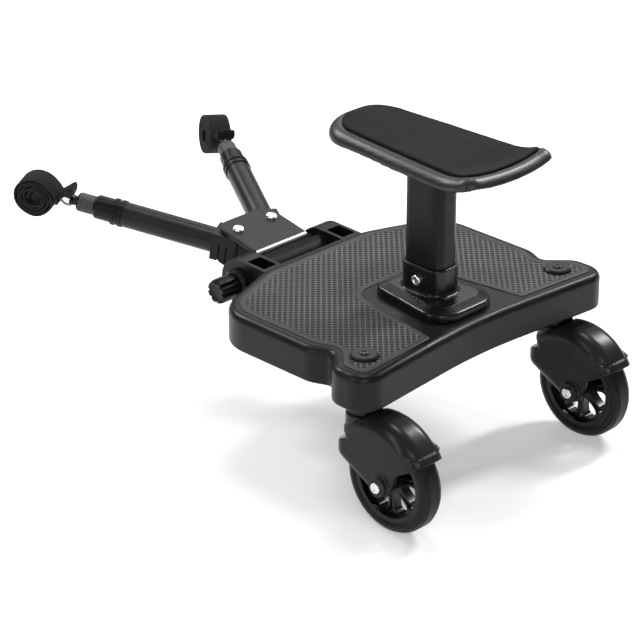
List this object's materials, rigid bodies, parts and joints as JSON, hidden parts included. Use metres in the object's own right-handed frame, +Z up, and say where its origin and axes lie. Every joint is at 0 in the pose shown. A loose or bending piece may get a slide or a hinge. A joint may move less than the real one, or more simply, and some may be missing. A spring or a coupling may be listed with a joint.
{
  "type": "buggy board",
  "caption": "Black buggy board: ribbed deck with grip mat, saddle seat on a post, two swivel casters, and two telescopic arms with straps for a pram.",
  "frame": {"origin": "on the floor under the middle of the object's box", "axes": "+Y from the casters towards the pram along the object's length, +X to the child's right, +Z up"},
  "size_m": [0.356, 0.6158, 0.3431],
  "materials": {
    "deck_plastic": "satin moulded black",
    "grip_rubber": "embossed matte black",
    "seat_plastic": "satin to glossy black",
    "foam": "matte closed-cell foam",
    "bright_steel": "bright zinc",
    "fitting_plastic": "satin black",
    "black_steel": "black oxide",
    "tube_paint": "black powder coat",
    "grey_tube": "grey textured coat",
    "tyre_rubber": "matte black",
    "wheel_plastic": "glossy black",
    "caster_plastic": "satin black",
    "webbing": "black hook-and-loop webbing"
  },
  "bodies": {
    "board": {"deck_shell": "deck_plastic", "grip_mat": "grip_rubber", "seat_shell": "seat_plastic", "seat_base": "seat_plastic", "seat_post": "seat_plastic", "seat_pad": "foam", "seat_bolt": "bright_steel", "seat_bolt_nut": "bright_steel", "hinge_axle": "bright_steel", "hinge_collar": "fitting_plastic", "caster_bush_left": "caster_plastic", "caster_bush_right": "caster_plastic"},
    "hinge_block": {"hinge_block": "fitting_plastic", "cover_plate": "fitting_plastic", "pivot_screws": "bright_steel", "pivot_nuts": "bright_steel"},
    "knob": {"hinge_knob": "fitting_plastic"},
    "caster_left": {"caster_fork_left": "caster_plastic", "swivel_stem_left": "bright_steel", "caster_cap_left": "caster_plastic", "cap_screw_left": "black_steel", "wheel_axle_left": "bright_steel", "axle_nut_left": "bright_steel"},
    "wheel_left": {"wheel_hub_left": "wheel_plastic", "wheel_bush_left": "wheel_plastic", "tyre_left": "tyre_rubber"},
    "arm_left": {"arm_knuckle_left": "fitting_plastic", "outer_tube_left": "tube_paint", "tube_ferrule_left": "fitting_plastic"},
    "collar_left": {"lock_collar_left": "fitting_plastic"},
    "slider_left": {"inner_tube_left": "grey_tube", "tube_plug_left": "fitting_plastic"},
    "ring_left": {"wire_ring_left": "bright_steel", "strap_left": "webbing"},
    "caster_right": {"caster_fork_right": "caster_plastic", "swivel_stem_right": "bright_steel", "caster_cap_right": "caster_plastic", "cap_screw_right": "black_steel", "wheel_axle_right": "bright_steel", "axle_nut_right": "bright_steel"},
    "wheel_right": {"wheel_hub_right": "wheel_plastic", "wheel_bush_right": "wheel_plastic", "tyre_right": "tyre_rubber"},
    "arm_right": {"arm_knuckle_right": "fitting_plastic", "outer_tube_right": "tube_paint", "tube_ferrule_right": "fitting_plastic"},
    "collar_right": {"lock_collar_right": "fitting_plastic"},
    "slider_right": {"inner_tube_right": "grey_tube", "tube_plug_right": "fitting_plastic"},
    "ring_right": {"wire_ring_right": "bright_steel", "strap_right": "webbing"}
  },
  "joints": [
    {"name": "arm_fold", "type": "hinge", "parent": "board", "child": "hinge_block", "pos_m": [0, 0.03367, 0.142], "axis": [1, 0, 0], "range_deg": [-30, 75]},
    {"name": "knob_turn", "type": "hinge", "parent": "board", "child": "knob", "pos_m": [0, 0.03367, 0.142], "axis": [1, 0, 0], "continuous": true},
    {"name": "caster_swivel_left", "type": "hinge", "parent": "board", "child": "caster_left", "pos_m": [-0.14, -0.21333, 0.1683], "axis": [0, 0, 1], "continuous": true},
    {"name": "wheel_spin_left", "type": "hinge", "parent": "caster_left", "child": "wheel_left", "pos_m": [-0.14, -0.25473, 0.0532], "axis": [1, 0, 0], "continuous": true},
    {"name": "arm_swing_left", "type": "hinge", "parent": "hinge_block", "child": "arm_left", "pos_m": [-0.0239, 0.08618, 0.15221], "axis": [0, -0.1908, 0.9816], "range_deg": [-26, 25]},
    {"name": "collar_twist_left", "type": "hinge", "parent": "arm_left", "child": "collar_left", "pos_m": [-0.08822, 0.20492, 0.17529], "axis": [-0.4695, 0.8667, 0.1685], "range_deg": [0, 60]},
    {"name": "tube_slide_left", "type": "slide", "parent": "arm_left", "child": "slider_left", "axis": [-0.4695, 0.8667, 0.1685], "range_m": [-0.007, 0.07]},
    {"name": "ring_swing_left", "type": "hinge", "parent": "slider_left", "child": "ring_left", "pos_m": [-0.10911, 0.24349, 0.18279], "axis": [0, -0.1908, 0.9816], "range_deg": [-35, 35]},
    {"name": "caster_swivel_right", "type": "hinge", "parent": "board", "child": "caster_right", "pos_m": [0.14, -0.21333, 0.1683], "axis": [0, 0, 1], "continuous": true},
    {"name": "wheel_spin_right", "type": "hinge", "parent": "caster_right", "child": "wheel_right", "pos_m": [0.14, -0.25473, 0.0532], "axis": [1, 0, 0], "continuous": true},
    {"name": "arm_swing_right", "type": "hinge", "parent": "hinge_block", "child": "arm_right", "pos_m": [0.0239, 0.08618, 0.15221], "axis": [0, 0.1908, -0.9816], "range_deg": [-26, 25]},
    {"name": "collar_twist_right", "type": "hinge", "parent": "arm_right", "child": "collar_right", "pos_m": [0.08822, 0.20492, 0.17529], "axis": [0.4695, 0.8667, 0.1685], "range_deg": [0, 60]},
    {"name": "tube_slide_right", "type": "slide", "parent": "arm_right", "child": "slider_right", "axis": [0.4695, 0.8667, 0.1685], "range_m": [-0.007, 0.07]},
    {"name": "ring_swing_right", "type": "hinge", "parent": "slider_right", "child": "ring_right", "pos_m": [0.10911, 0.24349, 0.18279], "axis": [0, -0.1908, 0.9816], "range_deg": [-35, 35]}
  ]
}
